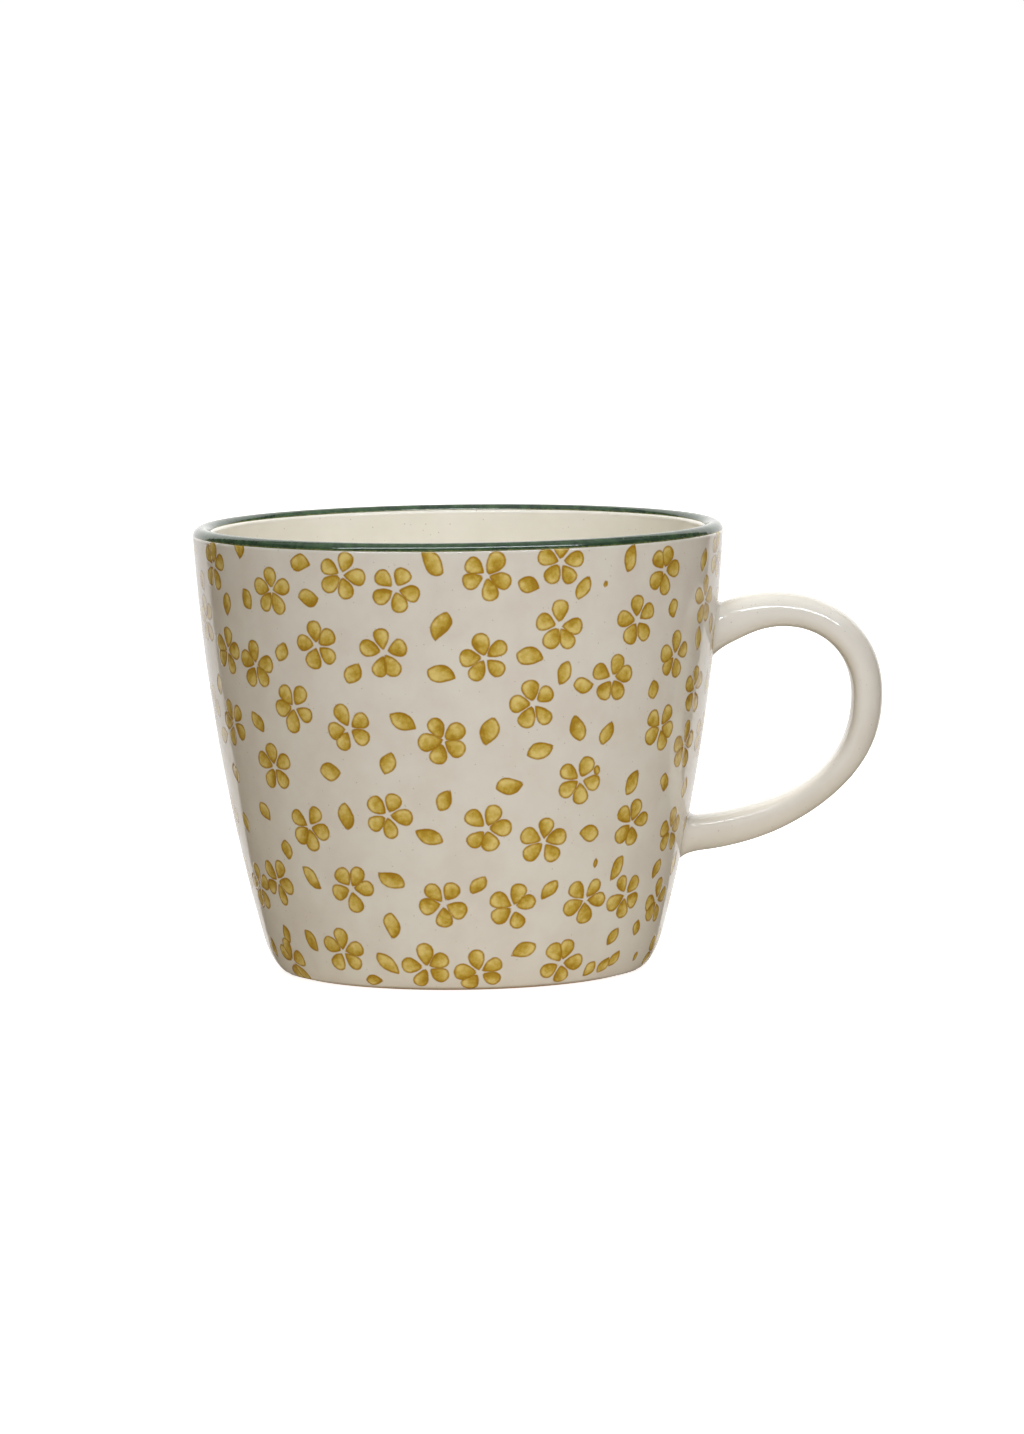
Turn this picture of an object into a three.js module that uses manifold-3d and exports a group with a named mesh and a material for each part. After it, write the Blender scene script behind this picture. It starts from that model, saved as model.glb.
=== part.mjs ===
// A stoneware mug: a cup whose wall flares and straightens towards the rim, a strap
// handle luted on with two beads of slip, a glaze coat inside and out, and a band of
// colour over the lip. Millimetres, +Z up, standing on the plane z = 0.

import * as THREE from 'three';
import { mergeVertices } from 'three/addons/utils/BufferGeometryUtils.js';
import Module from 'manifold-3d';

// Cup. Radii are measured from the cup's own upright axis.
const cupHeight = 86;
const rimRadius = 51;
const wallThickness = 3.6;
const rimSlope = 0.06; // how far the wall leans in for each millimetre down, at the rim
const heelRadius = 38.7;
const heelHeight = 7.5;
const heelSlope = 0.27; // the same lean where the wall meets the rounded heel
const footRadius = 32.5;
const footWidth = 3;
const recessDepth = 1.8;
const recessSide = 0.8; // how far the recess's side slopes inwards as it rises
const floorThickness = 4.6;
const innerCornerHeight = 12; // where the inside leaves the wall, above the floor

// Coats
const glazeThickness = 0.4;
const heelGlazed = 0.65; // share of the heel's curve that the outer coat covers
const footGlazeMargin = 1.2; // bare clay left between the recess's side and its coat
const bandInsideDrop = 1; // how far the band of colour goes down inside the lip

// Handle. Its middle line stands in the plane y = 0.
const handleThickness = 6;
const handleWidth = 11;
const handleStandOut = 30.5; // how far the handle reaches beyond the rim
const handleMiddleHeight = 52.2; // height of its furthest point
const upperRootDrop = 20.7; // the upper root's middle, below the rim
const upperRootRise = THREE.MathUtils.degToRad(24);
const lowerRootHeight = 25.3;
const lowerRootRise = THREE.MathUtils.degToRad(6);
const upperRootArm = 12.4; // how strongly each end of a bend keeps its direction
const upperMiddleArm = 14.5;
const lowerMiddleArm = 17.4;
const lowerRootArm = 12.4;

// Beads of slip between the handle's ends and the wall
const jointLength = 3.5;
const jointFlare = 1.3;
const jointGap = 0.3; // left between a bead and whatever it is fitted to

// How finely round shapes are divided
const turnSteps = 48;
const wallSteps = 7;
const heelSteps = 4;
const lipOutsideSteps = 4;
const lipTopSteps = 2;
const insideLipSteps = 2;
const cornerSteps = 4;
const filletSteps = 3;
const handleSteps = 28;
const handleSides = 8;
const searchSteps = 40;

const wasm = await Module();
wasm.setup();

// ---- outline of the cup: x is the distance from the axis, y is the height ----

const lipRadius = wallThickness / 2;
const lipCentre = new THREE.Vector2(rimRadius - lipRadius, cupHeight - lipRadius);
const rimLean = Math.atan(rimSlope);
const heelLean = Math.atan(heelSlope);
const bandEnd = Math.PI - Math.asin((lipRadius - bandInsideDrop) / lipRadius);

function downwards(lean) {
  return new THREE.Vector2(-Math.sin(lean), -Math.cos(lean));
}

// The wall's outer face, from the lip down to the heel.
function makeOuterWall() {
  const top = lipPoint(-rimLean, lipRadius);
  const bottom = new THREE.Vector2(heelRadius, heelHeight);
  const arm = (top.y - bottom.y) / 3;
  const belowTop = top.clone().addScaledVector(downwards(rimLean), arm);
  const aboveBottom = bottom.clone().addScaledVector(downwards(heelLean), -arm);
  return new THREE.CubicBezierCurve(top, belowTop, aboveBottom, bottom);
}

// The rounded heel under it. The clay beneath its coat ends level with z = 0.
function makeHeel() {
  const top = new THREE.Vector2(heelRadius, heelHeight);
  const run = (heelHeight + glazeThickness) / Math.cos(heelLean);
  const corner = top.clone().addScaledVector(downwards(heelLean), run);
  const end = new THREE.Vector2(footRadius, -glazeThickness);
  return new THREE.QuadraticBezierCurve(top, corner, end);
}

// The inside's rounded corner, with arms of equal length so that it is nearly an arc.
function makeInnerCorner() {
  const top = pointInside(outerWall, innerCornerPlace, wallThickness);
  const along = outerWall.getTangent(innerCornerPlace);
  const arm = (floorLevel - top.y) / along.y;
  const corner = top.clone().addScaledVector(along, arm);
  const end = new THREE.Vector2(corner.x - arm, floorLevel);
  return new THREE.QuadraticBezierCurve(top, corner, end);
}

// A point of the lip's round top. Angle 0 faces away from the cup and 90 degrees is up.
function lipPoint(angle, radius) {
  const x = lipCentre.x + radius * Math.cos(angle);
  const y = lipCentre.y + radius * Math.sin(angle);
  return new THREE.Vector2(x, y);
}

function lipRun(from, to, radius, steps) {
  const points = [];
  for (let step = 0; step <= steps; step += 1) {
    points.push(lipPoint(from + ((to - from) * step) / steps, radius));
  }
  return points;
}

// A curve's point moved into the cup, square to the curve.
function pointInside(curve, place, depth) {
  const point = curve.getPoint(place);
  const along = curve.getTangent(place);
  return new THREE.Vector2(point.x + along.y * depth, point.y - along.x * depth);
}

function runInside(curve, depth, steps, end = 1) {
  const points = [];
  for (let step = 0; step <= steps; step += 1) {
    points.push(pointInside(curve, (end * step) / steps, depth));
  }
  return points;
}

// Runs of points end to end. Each run after the first starts where the last one ended.
function joined(...runs) {
  return runs.reduce((points, run) => points.concat(run.slice(1)));
}

// How far along the outer wall's curve a height lies, by halving.
function wallPlaceAt(height) {
  let above = 0;
  let below = 1;
  for (let step = 0; step < searchSteps; step += 1) {
    const middle = (above + below) / 2;
    if (outerWall.getPoint(middle).y > height) {
      above = middle;
    } else {
      below = middle;
    }
  }
  return below;
}

const outerWall = makeOuterWall();
const heel = makeHeel();
const floorLevel = recessDepth + floorThickness;
const innerCornerPlace = wallPlaceAt(floorLevel + innerCornerHeight);
const innerCorner = makeInnerCorner();

// The cup's outside from the lip to a share of the heel, at a depth below its coat's face.
function outsideRun(depth, heelEnd) {
  const lipEdge = [lipPoint(-rimLean, lipRadius - depth)];
  const heelRun = runInside(heel, depth, heelSteps, heelGlazed);
  const covered = joined(lipEdge, runInside(outerWall, depth, wallSteps), heelRun);
  if (heelEnd <= heelGlazed) {
    return covered;
  }
  const bareMiddle = pointInside(heel, (heelGlazed + heelEnd) / 2, depth);
  return covered.concat([bareMiddle, pointInside(heel, heelEnd, depth)]);
}

// The cup's inside from the band's edge to the axis, at a height above its clay.
function insideRun(coat) {
  const lip = lipRun(bandEnd, Math.PI - rimLean, lipRadius - glazeThickness + coat, insideLipSteps);
  const depth = wallThickness - glazeThickness + coat;
  const wall = runInside(outerWall, depth, wallSteps, innerCornerPlace);
  const corner = runInside(innerCorner, coat - glazeThickness, cornerSteps);
  const middle = new THREE.Vector2(0, floorLevel - glazeThickness + coat);
  return joined(lip, wall, corner).concat([middle]);
}

// The lip's round top from outside, through its highest point, to the band's inner edge.
function bandRun(radius) {
  const rising = lipRun(-rimLean, Math.PI / 2, radius, lipOutsideSteps);
  return joined(rising, lipRun(Math.PI / 2, bandEnd, radius, lipTopSteps));
}

// ---- solids ----

// A profile turned about the upright axis.
function turned(profile) {
  return new THREE.LatheGeometry(profile, turnSteps).rotateX(Math.PI / 2);
}

// A profile that doesn't reach the axis, closed on itself and turned.
function turnedRing(profile) {
  return turned(profile.concat([profile[0]]));
}

function solidOf(geometry) {
  const bare = geometry.toNonIndexed();
  bare.deleteAttribute('normal');
  bare.deleteAttribute('uv');
  const merged = mergeVertices(bare);
  const corners = Array.from(merged.index.array);
  const triVerts = [];
  for (let first = 0; first < corners.length; first += 3) {
    const [a, b, c] = corners.slice(first, first + 3);
    if (a !== b && b !== c && c !== a) {
      triVerts.push(a, b, c);
    }
  }
  const vertProperties = new Float32Array(merged.attributes.position.array);
  const mesh = new wasm.Mesh({ numProp: 3, vertProperties, triVerts: new Uint32Array(triVerts) });
  return new wasm.Manifold(mesh);
}

function geometryOf(solid) {
  const mesh = solid.getMesh();
  const geometry = new THREE.BufferGeometry();
  geometry.setAttribute('position', new THREE.BufferAttribute(mesh.vertProperties, mesh.numProp));
  geometry.setIndex(new THREE.BufferAttribute(mesh.triVerts, 1));
  geometry.computeVertexNormals();
  return geometry;
}

// Thrown clay: recessed base, foot, heel, wall and round lip in one piece.
function makeCupBody() {
  const recessTop = recessDepth + glazeThickness;
  const recessRadius = footRadius - footWidth;
  const base = [
    new THREE.Vector2(0, recessTop),
    new THREE.Vector2(recessRadius - recessSide, recessTop),
    new THREE.Vector2(recessRadius, 0),
  ];
  const outside = outsideRun(glazeThickness, 1).reverse();
  const lip = bandRun(lipRadius - glazeThickness);
  return turned(joined(base.concat(outside), lip, insideRun(0)));
}

// Glass coat of the outside, from under the band to just above the foot, with a
// window for each bead of slip.
function makeOuterGlaze() {
  const clayFace = outsideRun(glazeThickness, heelGlazed);
  const glassFace = outsideRun(0, heelGlazed).reverse();
  const coat = solidOf(turnedRing(clayFace.concat(glassFace)));
  const windows = roots.map((root) => solidOf(beadBlank(root, jointGap)));
  return geometryOf(coat.subtract(windows[0]).subtract(windows[1]));
}

function makeInnerGlaze() {
  return turned(insideRun(0).reverse().concat(insideRun(glazeThickness)));
}

function makeRimBand() {
  return turnedRing(bandRun(lipRadius).concat(bandRun(lipRadius - glazeThickness).reverse()));
}

function makeFootGlaze() {
  const coatRadius = footRadius - footWidth - recessSide - footGlazeMargin;
  return turned([
    new THREE.Vector2(0, recessDepth),
    new THREE.Vector2(coatRadius, recessDepth),
    new THREE.Vector2(coatRadius, recessDepth + glazeThickness),
    new THREE.Vector2(0, recessDepth + glazeThickness),
  ]);
}

// ---- handle and its beads of slip ----

function makeRoot(height, rise) {
  const radius = outerWall.getPoint(wallPlaceAt(height)).x;
  const outwards = new THREE.Vector3(Math.cos(rise), 0, Math.sin(rise));
  const seat = new THREE.Vector3(radius, 0, height);
  return { rise, outwards, seat, end: seat.clone().addScaledVector(outwards, jointLength) };
}

const upperRoot = makeRoot(cupHeight - upperRootDrop, upperRootRise);
const lowerRoot = makeRoot(lowerRootHeight, lowerRootRise);
const roots = [upperRoot, lowerRoot];

// An oval bar swept along two bends that meet, running straight down, at the far side.
function makeHandle() {
  const reach = rimRadius + handleStandOut - handleThickness / 2;
  const far = new THREE.Vector3(reach, 0, handleMiddleHeight);
  const up = new THREE.Vector3(0, 0, 1);
  const upperBend = new THREE.CubicBezierCurve3(
    upperRoot.end,
    upperRoot.end.clone().addScaledVector(upperRoot.outwards, upperRootArm),
    far.clone().addScaledVector(up, upperMiddleArm),
    far,
  );
  const lowerBend = new THREE.CubicBezierCurve3(
    far,
    far.clone().addScaledVector(up, -lowerMiddleArm),
    lowerRoot.end.clone().addScaledVector(lowerRoot.outwards, lowerRootArm),
    lowerRoot.end,
  );
  const middleLine = new THREE.CurvePath();
  middleLine.add(upperBend);
  middleLine.add(lowerBend);
  const section = new THREE.Shape();
  section.absellipse(0, 0, handleWidth / 2, handleThickness / 2, 0, 2 * Math.PI);
  const settings = { steps: handleSteps, curveSegments: handleSides, extrudePath: middleLine };
  return new THREE.ExtrudeGeometry(section, settings);
}

// A bead before it is fitted: oval, as wide as the handle at its outer end, and flared
// with a hollow fillet where it spreads on the wall. It runs on into the wall.
function beadBlank(root, growth) {
  const radius = handleThickness / 2 + growth;
  const spread = radius + jointFlare;
  const fillet = new THREE.QuadraticBezierCurve(
    new THREE.Vector2(spread, 0),
    new THREE.Vector2(radius, 0),
    new THREE.Vector2(radius, jointLength - jointGap),
  );
  const profile = [
    new THREE.Vector2(0, -wallThickness),
    new THREE.Vector2(spread, -wallThickness),
    ...fillet.getPoints(filletSteps),
    new THREE.Vector2(0, jointLength - jointGap),
  ];
  const widening = (handleWidth / 2 + growth) / radius;
  const bead = new THREE.LatheGeometry(profile, 2 * handleSides);
  bead.scale(1, 1, widening);
  // Its length is turned from +Y to point out of the wall, and its width to lie along y.
  bead.rotateZ(root.rise - Math.PI / 2);
  bead.rotateX(Math.PI / 2);
  bead.translate(root.seat.x, root.seat.y, root.seat.z);
  return bead;
}

// The cup as a plain solid, a gap larger than its clay, for fitting the beads.
function cupBlank() {
  const outside = outsideRun(glazeThickness - jointGap, 1).reverse();
  const lowest = new THREE.Vector2(0, outside[0].y);
  const highest = new THREE.Vector2(0, outside[outside.length - 1].y);
  return solidOf(turned([lowest, ...outside, highest]));
}

function makeBead(root) {
  return geometryOf(solidOf(beadBlank(root, 0)).subtract(cupBlank()));
}

// ---- the mug ----

const stonewareClay = { color: '#cdbfa9', roughness: 0.85, metalness: 0 };
const creamGlaze = { color: '#e2dccd', roughness: 0.12, metalness: 0 };
const greenGlaze = { color: '#2f5a40', roughness: 0.15, metalness: 0 };

function piece(name, geometry, look) {
  const mesh = new THREE.Mesh(geometry, new THREE.MeshStandardMaterial(look));
  mesh.name = name;
  return mesh;
}

const mug = new THREE.Group();
mug.add(piece('cup_body', makeCupBody(), stonewareClay));
mug.add(piece('outer_glaze', makeOuterGlaze(), creamGlaze));
mug.add(piece('inner_glaze', makeInnerGlaze(), creamGlaze));
mug.add(piece('rim_band', makeRimBand(), greenGlaze));
mug.add(piece('foot_glaze', makeFootGlaze(), creamGlaze));
mug.add(piece('handle', makeHandle(), creamGlaze));
mug.add(piece('upper_handle_joint', makeBead(upperRoot), creamGlaze));
mug.add(piece('lower_handle_joint', makeBead(lowerRoot), creamGlaze));

// The origin is under the middle of the whole mug, so the cup's axis stands half of the
// handle's reach to one side of it.
mug.position.x = -handleStandOut / 2;

export default mug;
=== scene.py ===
import math

import bpy
import numpy as np
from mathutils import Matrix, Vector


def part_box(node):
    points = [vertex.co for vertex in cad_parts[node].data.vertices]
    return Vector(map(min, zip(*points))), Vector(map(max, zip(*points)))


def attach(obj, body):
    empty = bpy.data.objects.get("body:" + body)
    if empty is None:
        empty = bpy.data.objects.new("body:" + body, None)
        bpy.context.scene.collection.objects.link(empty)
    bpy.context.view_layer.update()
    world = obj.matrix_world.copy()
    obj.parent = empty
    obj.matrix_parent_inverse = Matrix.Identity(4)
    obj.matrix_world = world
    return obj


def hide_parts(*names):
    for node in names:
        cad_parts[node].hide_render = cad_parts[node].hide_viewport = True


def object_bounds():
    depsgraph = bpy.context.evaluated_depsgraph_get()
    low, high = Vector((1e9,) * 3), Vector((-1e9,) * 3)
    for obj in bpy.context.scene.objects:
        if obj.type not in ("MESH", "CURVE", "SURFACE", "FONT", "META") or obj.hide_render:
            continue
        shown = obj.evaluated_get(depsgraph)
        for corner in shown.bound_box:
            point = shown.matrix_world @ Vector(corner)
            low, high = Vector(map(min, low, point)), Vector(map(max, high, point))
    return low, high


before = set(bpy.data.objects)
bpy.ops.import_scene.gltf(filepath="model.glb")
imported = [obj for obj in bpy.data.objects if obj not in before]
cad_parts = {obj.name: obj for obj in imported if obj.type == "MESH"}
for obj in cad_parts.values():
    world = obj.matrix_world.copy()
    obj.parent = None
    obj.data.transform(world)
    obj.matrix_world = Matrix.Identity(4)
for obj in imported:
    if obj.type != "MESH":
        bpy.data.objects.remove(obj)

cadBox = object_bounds()
mm = 0.001
turnSteps = 560  # divisions round the cup, about 0.6 mm each at the rim
rng = np.random.default_rng(1904)

glazeLow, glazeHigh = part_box("outer_glaze")

# The cup's own shape, in millimetres, about its own upright axis.
cup = {
    "axisX": (glazeLow.x + glazeHigh.x) / 2 / mm,
    "height": cadBox[1].z / mm,
    "rimRadius": (glazeHigh.y - glazeLow.y) / 2 / mm,
    "wall": 3.6,
    "rimSlope": 0.06,  # inwards for each millimetre down, at the rim
    "heelRadius": 38.7,
    "heelHeight": 7.5,
    "heelSlope": 0.27,
    "footRadius": 32.5,
    "footWidth": 3.0,
    "recessDepth": 1.8,
    "recessSide": 0.8,
    "floorLevel": 6.4,
    "innerCorner": 12.0,  # where the inside leaves the wall, above the floor
    "glaze": 0.4,
    "tuck": 0.02,  # how far the clay stays under its coats
    "heelGlazed": 0.65,  # share of the heel's curve under the outer coat
    "bandInsideDrop": 1.0,
    "bandStart": 10.0,  # degrees up the lip's round, where the green begins outside
}


# A Bezier curve: its control points weighted by the Bernstein polynomials of t.
def bezier(controls, t):
    controls = np.array(controls, float)
    order = len(controls) - 1
    t = np.asarray(t, float)[:, None]
    return sum(math.comb(order, k) * t**k * (1 - t) ** (order - k) * controls[k] for k in range(order + 1))


# The unit direction down a wall that leans inwards by slope for each step down.
def downwards(slope):
    return np.array([-slope, -1.0]) / math.hypot(slope, 1.0)


# Points of a profile moved towards the cup's inside, square to the profile.
def movedInside(profile, depth):
    along = np.gradient(profile, axis=0)
    along /= np.linalg.norm(along, axis=1, keepdims=True)
    return profile + depth * np.stack([along[:, 1], -along[:, 0]], axis=1)


# A profile sampled again at count + 1 places, equally far apart along it.
def evenly(profile, count):
    steps = np.linalg.norm(np.diff(profile, axis=0), axis=1)
    length = np.concatenate([[0], np.cumsum(steps)])
    wanted = np.linspace(0, length[-1], count + 1)
    return np.stack([np.interp(wanted, length, profile[:, k]) for k in (0, 1)], axis=1)


lipRadius = cup["wall"] / 2
lipCentre = np.array([cup["rimRadius"] - lipRadius, cup["height"] - lipRadius])
rimLean = math.atan(cup["rimSlope"])
bandStart = math.radians(cup["bandStart"])
bandEnd = math.pi - math.asin((lipRadius - cup["bandInsideDrop"]) / lipRadius)


# A stretch of the lip's round top: angle 0 faces outwards and 90 degrees is up.
def lipRun(start, end, radius, count):
    angle = np.linspace(start, end, count + 1)
    return lipCentre + radius * np.stack([np.cos(angle), np.sin(angle)], axis=1)


fine = np.linspace(0, 1, 1201)
wallTop = lipRun(-rimLean, 0, lipRadius, 1)[0]
wallBottom = np.array([cup["heelRadius"], cup["heelHeight"]])
wallArm = (wallTop[1] - wallBottom[1]) / 3
wallProfile = bezier(
    [wallTop, wallTop + wallArm * downwards(cup["rimSlope"]),
     wallBottom - wallArm * downwards(cup["heelSlope"]), wallBottom], fine)
heelRun = (cup["heelHeight"] + cup["glaze"]) * math.hypot(cup["heelSlope"], 1)
heelProfile = bezier(
    [wallBottom, wallBottom + heelRun * downwards(cup["heelSlope"]),
     [cup["footRadius"], -cup["glaze"]]], fine)


# The outer wall's radius at a height: its profile read backwards, from the height to the radius.
def wallRadius(height):
    whole = np.concatenate([wallProfile, heelProfile[1:]])
    return np.interp(height, whole[::-1, 1], whole[::-1, 0])


# The inside: the wall's face moved in by its thickness, then a rounded corner and the floor.
def insideProfile(depth, coat):
    wall = movedInside(wallProfile, depth)
    glazed = movedInside(wallProfile, cup["wall"])
    last = int(np.argmin(abs(glazed[:, 1] - cup["floorLevel"] - cup["innerCorner"])))
    along = glazed[last] - glazed[last - 1]
    along /= np.linalg.norm(along)
    arm = (cup["floorLevel"] - glazed[last, 1]) / along[1]
    corner = glazed[last] + arm * along
    bend = movedInside(bezier([glazed[last], corner, [corner[0] - arm, cup["floorLevel"]]], fine), coat)
    return wall[:last + 1], bend


# The hand's small faults: the share by which the cup is oval, and how far its wall swells and dips.
hand = {"oval": 0.0009, "ovalTurn": 0.8, "swell": 0.035, "swellHeights": (23.0, 31.0, 14.0),
        "swellPhase": 1.7, "calmRadius": 10.0}


# One smooth warp of all space round the cup's axis, so that pieces which touch still touch. Each
# point moves inwards by an oval, (1 + cos 2a) / 2 of its radius, and by a few sine waves of its
# height and angle a, which fade out near the axis.
def handMade(points):
    x, y, z = points[:, 0], points[:, 1], points[:, 2]
    around = np.arctan2(y, x)
    radius = np.hypot(x, y)
    swells = sum(np.sin(2 * math.pi * z / tall + (k + 2) * around + hand["swellPhase"] * k)
                 for k, tall in enumerate(hand["swellHeights"])) / len(hand["swellHeights"])
    inwards = radius * hand["oval"] * (1 + np.cos(2 * around + hand["ovalTurn"])) / 2
    inwards += hand["swell"] * (1 + swells) / 2 * np.clip(radius / hand["calmRadius"], 0, 1)
    scale = np.where(radius > 1e-6, 1 - inwards / np.maximum(radius, 1e-6), 1)
    return np.stack([x * scale, y * scale, z], axis=1)


# A smooth object from points in metres.
def makeObject(name, points, faces):
    mesh = bpy.data.meshes.new(name)
    mesh.from_pydata(points, [], faces)
    mesh.polygons.foreach_set("use_smooth", np.full(len(mesh.polygons), True))
    mesh.update()
    made = bpy.data.objects.new(name, mesh)
    bpy.context.scene.collection.objects.link(made)
    return made


# An object from points in the cup's millimetres: warped by hand, moved to the frame and scaled.
def makePiece(name, points, faces):
    moved = handMade(points)
    moved[:, 0] += cup["axisX"]
    return makeObject(name, np.round(moved * mm, 9), faces)


# Quads of a grid of points, rows by columns. Each row closes on itself, and closeRows also joins
# the last row to the first.
def gridFaces(rows, columns, closeRows):
    here = np.arange(rows if closeRows else rows - 1)
    across = np.arange(columns)
    next0 = (here + 1) % rows
    next1 = (across + 1) % columns
    a = here[:, None] * columns + across
    b = here[:, None] * columns + next1
    c = next0[:, None] * columns + next1
    d = next0[:, None] * columns + across
    return np.stack([a, d, c, b], axis=-1).reshape(-1, 4)


# Triangles that close a tube's two ends: a fan round each of two points after the grid's.
def endFans(rows, columns):
    ring = np.arange(columns)
    after = (ring + 1) % columns
    base = (rows - 1) * columns
    first = np.full(columns, rows * columns)
    near = np.stack([first, ring, after], axis=1)
    far = np.stack([first + 1, base + after, base + ring], axis=1)
    return np.concatenate([near, far]).tolist()


# Surface of revolution: point (r, z) of the profile at angle a is (r sin a, -r cos a, z), with
# a from the front, growing towards the handle. The profile is a closed loop, or starts and ends
# on the axis, where each pole is one point and a fan of triangles.
def turnedPiece(name, profile, poles=False):
    angle = np.arange(turnSteps) * 2 * math.pi / turnSteps
    rings = profile[1:-1] if poles else profile
    x = rings[:, :1] * np.sin(angle)
    y = -rings[:, :1] * np.cos(angle)
    z = np.repeat(rings[:, 1:], turnSteps, axis=1)
    points = np.stack([x, y, z], axis=-1).reshape(-1, 3)
    faces = gridFaces(len(rings), turnSteps, not poles).tolist()
    if poles:
        points = np.concatenate([points, [[0, 0, profile[0, 1]], [0, 0, profile[-1, 1]]]])
        faces += endFans(len(rings), turnSteps)
    return makePiece(name, points, faces)


# An sRGB hex colour as linear light.
def linearColour(code):
    parts = [int(code[k:k + 2], 16) / 255 for k in (1, 3, 5)]
    return tuple(p / 12.92 if p <= 0.04045 else ((p + 0.055) / 1.055) ** 2.4 for p in parts) + (1.0,)


# Adds a shader node with its settings. An input that is a socket is linked, and so is a node, by its
# first output. Any other input is set, a hex colour as linear light. A Mix node's colours are its
# inputs 6 and 7, and its output 2.
def addNode(tree, kind, inputs=None, **settings):
    node = tree.nodes.new("ShaderNode" + kind)
    for name, value in settings.items():
        setattr(node, name, value)
    for name, value in (inputs or {}).items():
        if isinstance(value, bpy.types.Node):
            value = value.outputs[0]
        if isinstance(value, bpy.types.NodeSocket):
            tree.links.new(value, node.inputs[name])
        else:
            node.inputs[name].default_value = linearColour(value) if isinstance(value, str) else value
    return node


# A material with nothing in it yet.
def newMaterial(name):
    material = bpy.data.materials.new(name)
    material.use_nodes = True
    material.node_tree.nodes.clear()
    return material, material.node_tree


# Adds the shader of a finish. Its roughness follows a noise, between the span's two values, and a
# height in millimetres becomes a bump in metres.
def finishShader(tree, look, colour, noise, height):
    rough = addNode(tree, "MapRange", {
        "Value": noise, "From Min": look["roughSpan"][0], "From Max": look["roughSpan"][1],
        "To Min": look["roughLow"], "To Max": look["roughHigh"]})
    bump = addNode(tree, "Bump", {"Height": height, "Distance": mm, "Strength": 1.0})
    shader = addNode(tree, "BsdfPrincipled", {"Base Color": colour, "Roughness": rough,
                                              "Normal": bump, "IOR": look["ior"]})
    addNode(tree, "OutputMaterial", {"Surface": shader})


# Cream slip under a clear glossy glaze, fired on stoneware: soft cloudy warmth where the slip is
# thin, iron specks finer than a pinhead, and a faint orange peel in the gloss.
creamGlaze = {
    # Each place's light and deep tone. The liner's is much whiter than the wall's: painted light, for the
    # bright light that falls inside the cup, and the foot's patch shares it.
    "wall": ("#dad7cb", "#d5cfc3"), "liner": ("#f0ece0", "#ebe7d9"), "handle": ("#dedad0", "#d9d5ca"),
    "speck": "#8d7a60", "ior": 1.52,
    "cloudSize": 9.0, "clouds": (0.35, 0.65),
    "speckSpacing": 1.3, "speckSize": 0.16, "speckCore": 0.4, "speckFew": 0.45, "speckDark": 0.5,
    "peelSize": 3.2, "peelDepth": 0.02, "grainSize": 0.5, "grainDepth": 0.01,
    "roughSpan": (0.3, 0.7), "roughLow": 0.05, "roughHigh": 0.1,
}


# Adds the cream glaze in the tones of one place on the cup, from thick to thin, and returns its
# colour, its cloud noise, its bump's height in mm and the place that its patterns are laid by.
def addCreamGlaze(tree, where):
    look = creamGlaze
    light, deep = look[where]
    place = addNode(tree, "TexCoord").outputs["Object"]
    cloud = addNode(tree, "TexNoise", {"Vector": place, "Scale": 1 / (look["cloudSize"] * mm),
                                       "Detail": 3.0, "Roughness": 0.6})
    share = addNode(tree, "MapRange", {"Value": cloud, "From Min": look["clouds"][0],
                                       "From Max": look["clouds"][1]})
    base = addNode(tree, "Mix", {"Factor": share, 6: light, 7: deep}, data_type="RGBA")
    cells = addNode(tree, "TexVoronoi", {"Vector": place, "Scale": 1 / (look["speckSpacing"] * mm)})
    chosen = addNode(tree, "SeparateColor", {"Color": cells.outputs["Color"]})
    few = addNode(tree, "Math", {0: chosen, 1: look["speckFew"]}, operation="LESS_THAN")
    size = look["speckSize"] / look["speckSpacing"]
    dot = addNode(tree, "MapRange", {"Value": cells, "From Min": size, "From Max": size * look["speckCore"],
                                     "To Max": look["speckDark"]}, interpolation_type="SMOOTHSTEP")
    speck = addNode(tree, "Math", {0: dot, 1: few}, operation="MULTIPLY")
    colour = addNode(tree, "Mix", {"Factor": speck, 6: base.outputs[2], 7: look["speck"]},
                     data_type="RGBA")
    peel = addNode(tree, "TexNoise", {"Vector": place, "Scale": 1 / (look["peelSize"] * mm),
                                      "Detail": 1.0})
    grain = addNode(tree, "TexNoise", {"Vector": place, "Scale": 1 / (look["grainSize"] * mm),
                                       "Detail": 1.0})
    peelHeight = addNode(tree, "Math", {0: peel, 1: look["peelDepth"]}, operation="MULTIPLY")
    height = addNode(tree, "Math", {0: grain, 1: look["grainDepth"], 2: peelHeight},
                     operation="MULTIPLY_ADD")
    return colour.outputs[2], cloud, height, place


# The cream without stamps, for the handle, and whiter for the liner and the foot: the whiter tone is
# painted light, standing in for the bright light inside the cup.
def makePlainGlaze(name, where):
    material, tree = newMaterial(name)
    colour, cloud, height, _ = addCreamGlaze(tree, where)
    finishShader(tree, creamGlaze, colour, cloud, height)
    return material


# Mustard pigment stamped by hand under the glaze: it is pushed to the stamp's edge, where it dries
# dark, and stays thin and glassy in the middle; where two stamps overlap it is twice as thick.
stampPigment = {
    "thin": "#dbc678", "full": "#bb9d3c", "edge": "#9d7411", "pooled": "#9b7519",
    "fringe": 0.13, "edgeWidth": 0.6, "edgeInside": 0.1, "waver": 0.14, "waverSize": 0.7,
    "washSize": 1.3, "washFine": 0.4, "fineShare": 0.3, "relief": 0.03,
    # how much darker it is at the side it ran to, at the inner end, and from stamp to stamp
    "ranAside": 0.32, "ranInwards": 0.2, "toneShare": 0.22,
    # the wash at which each tone begins and is complete, and the most or the least of it
    "fullWash": (0.35, 0.95), "pooledWash": (0.8, 1.15), "pooledMost": 0.75,
    "edgeWash": (0.3, 0.8), "edgeLeast": 0.6, "overlapDepth": 0.25, "overlapMost": 0.8,
}


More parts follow.
